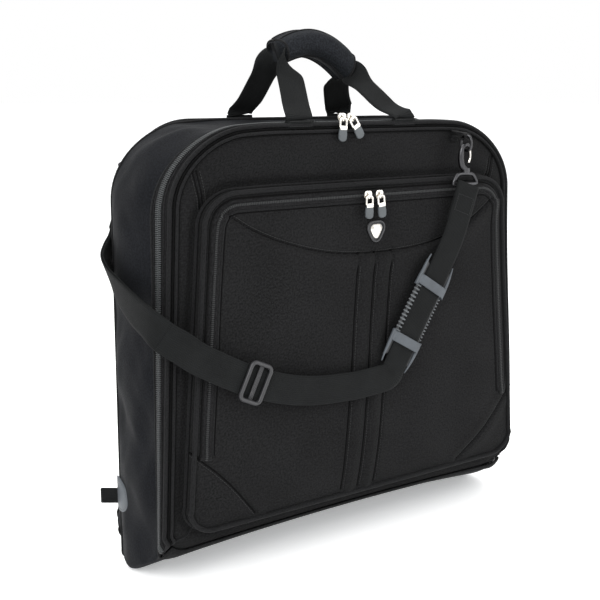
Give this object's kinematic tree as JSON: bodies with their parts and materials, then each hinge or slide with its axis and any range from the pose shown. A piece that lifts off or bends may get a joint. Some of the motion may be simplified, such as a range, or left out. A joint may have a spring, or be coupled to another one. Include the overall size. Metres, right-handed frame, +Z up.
{
  "type": "garment bag",
  "caption": "Bi-fold black garment bag with a zipped padded lid, a front pocket, two webbing handles in a wrap, and a shoulder strap with a ribbed pad.",
  "frame": {"origin": "middle of the flat underside of the fold that the bag stands on", "axes": "+Z up, +X right seen from the front, the lid and pocket face -Y"},
  "size_m": [0.6111, 0.2199, 0.6783],
  "materials": {
    "black_cloth": "woven ballistic polyester, matt",
    "gusset_cloth": "plain woven polyester, slight sheen",
    "lining": "smooth lining cloth",
    "piping": "corded edging",
    "zipper_tape": "woven tape with nylon coil",
    "webbing": "ribbed polypropylene webbing",
    "nickel": "polished nickel plate",
    "dark_metal": "gunmetal plate",
    "black_rubber": "moulded, ribbed",
    "grey_rubber": "moulded, matt",
    "black_plastic": "moulded acetal"
  },
  "bodies": {
    "case": {"case_gusset": "gusset_cloth", "case_back_panel": "lining", "fold_spine": "gusset_cloth", "edge_frame": "black_plastic", "case_zipper_tape": "zipper_tape", "corner_patch_left": "grey_rubber", "corner_patch_right": "grey_rubber", "side_tab_left": "webbing", "side_tab_right": "webbing", "hanger_bracket": "black_plastic", "tie_strap_left": "webbing", "tie_strap_right": "webbing", "tie_buckle": "black_plastic"},
    "lid": {"lid_panel": "black_cloth", "lid_piping": "piping", "lid_zipper_tape": "zipper_tape", "pocket_panel": "black_cloth", "pocket_piping": "piping", "pocket_zipper": "zipper_tape", "badge_base": "black_plastic", "badge_inlay": "nickel", "front_strap_tab": "webbing", "front_ring": "dark_metal", "front_snap_hook": "dark_metal", "front_swivel_loop": "dark_metal", "strap_front": "webbing"},
    "rear_half": {"rear_shell": "gusset_cloth", "rear_liner": "lining", "rear_binding": "piping", "strap_rear": "webbing", "rear_strap_tab": "webbing", "rear_ring": "dark_metal", "rear_snap_hook": "dark_metal", "rear_swivel_loop": "dark_metal"},
    "front_handle": {"front_handle_webbing": "webbing", "front_grip_wrap": "black_cloth"},
    "rear_handle": {"rear_handle_webbing": "webbing", "rear_grip_wrap": "black_cloth"},
    "pad": {"shoulder_pad": "black_rubber", "pad_bridge_upper": "grey_rubber", "pad_bridge_lower": "grey_rubber"},
    "buckle": {"strap_buckle": "black_plastic"},
    "front_gate": {"front_hook_gate": "nickel"},
    "rear_gate": {"rear_hook_gate": "nickel"},
    "clamp_lever": {"hanger_clamp_lever": "nickel"},
    "main_slider_left": {"main_slider_left": "nickel"},
    "main_pull_left": {"main_slider_left_pull": "grey_rubber"},
    "main_slider_right": {"main_slider_right": "nickel"},
    "main_pull_right": {"main_slider_right_pull": "grey_rubber"},
    "pocket_slider_left": {"pocket_slider_left": "nickel"},
    "pocket_pull_left": {"pocket_slider_left_pull": "grey_rubber"},
    "pocket_slider_right": {"pocket_slider_right": "nickel"},
    "pocket_pull_right": {"pocket_slider_right_pull": "grey_rubber"}
  },
  "joints": [
    {"name": "lid_hinge", "type": "hinge", "parent": "case", "child": "lid", "pos_m": [0, -0.0565, 0.046], "axis": [1, 0, 0], "range_deg": [0, 90]},
    {"name": "fold_hinge", "type": "hinge", "parent": "case", "child": "rear_half", "pos_m": [0, 0.061, 0.008], "axis": [-1, 0, 0], "range_deg": [0, 180]},
    {"name": "front_handle_hinge", "type": "hinge", "parent": "lid", "child": "front_handle", "pos_m": [0, -0.063, 0.568], "axis": [1, 0, 0], "range_deg": [0, 80]},
    {"name": "rear_handle_hinge", "type": "hinge", "parent": "rear_half", "child": "rear_handle", "pos_m": [0, 0.078, 0.573], "axis": [-1, 0, 0], "range_deg": [0, 80]},
    {"name": "main_slider_left_slide", "type": "slide", "parent": "lid", "child": "main_slider_left", "axis": [1, 0, 0], "range_m": [-0.13, 0]},
    {"name": "main_pull_left_swing", "type": "hinge", "parent": "main_slider_left", "child": "main_pull_left", "pos_m": [-0.029, -0.0741, 0.567], "axis": [-1, 0, 0], "range_deg": [0, 110]},
    {"name": "main_slider_right_slide", "type": "slide", "parent": "lid", "child": "main_slider_right", "axis": [1, 0, 0], "range_m": [0, 0.12]},
    {"name": "main_pull_right_swing", "type": "hinge", "parent": "main_slider_right", "child": "main_pull_right", "pos_m": [-0.015, -0.0741, 0.567], "axis": [-1, 0, 0], "range_deg": [0, 110]},
    {"name": "pocket_slider_left_slide", "type": "slide", "parent": "lid", "child": "pocket_slider_left", "axis": [1, 0, 0], "range_m": [-0.15, 0]},
    {"name": "pocket_pull_left_swing", "type": "hinge", "parent": "pocket_slider_left", "child": "pocket_pull_left", "pos_m": [-0.003, -0.0953, 0.471], "axis": [-1, 0, 0], "range_deg": [0, 110]},
    {"name": "pocket_slider_right_slide", "type": "slide", "parent": "lid", "child": "pocket_slider_right", "axis": [1, 0, 0], "range_m": [0, 0.1]},
    {"name": "pocket_pull_right_swing", "type": "hinge", "parent": "pocket_slider_right", "child": "pocket_pull_right", "pos_m": [0.015, -0.0953, 0.471], "axis": [-1, 0, 0], "range_deg": [0, 110]},
    {"name": "front_gate_hinge", "type": "hinge", "parent": "lid", "child": "front_gate", "pos_m": [0.1675, -0.093, 0.5153], "axis": [0, -1, 0], "range_deg": [0, 20], "stiffness_Nm_per_rad": 0.05, "springref_deg": -17.19},
    {"name": "rear_gate_hinge", "type": "hinge", "parent": "rear_half", "child": "rear_gate", "pos_m": [-0.2189, 0.1016, 0.5257], "axis": [0, 1, 0], "range_deg": [0, 20], "stiffness_Nm_per_rad": 0.05, "springref_deg": -17.19},
    {"name": "clamp_lever_hinge", "type": "hinge", "parent": "case", "child": "clamp_lever", "pos_m": [0, 0.022, 0.538], "axis": [-1, 0, 0], "range_deg": [0, 60], "stiffness_Nm_per_rad": 0.1, "springref_deg": -11.46},
    {"name": "pad_slide", "type": "slide", "parent": "lid", "child": "pad", "axis": [0.5188, 0, 0.8549], "range_m": [-0.012, 0.012]},
    {"name": "buckle_slide", "type": "slide", "parent": "lid", "child": "buckle", "axis": [-0.9024, 0, 0.431], "range_m": [-0.03, 0.03]}
  ]
}
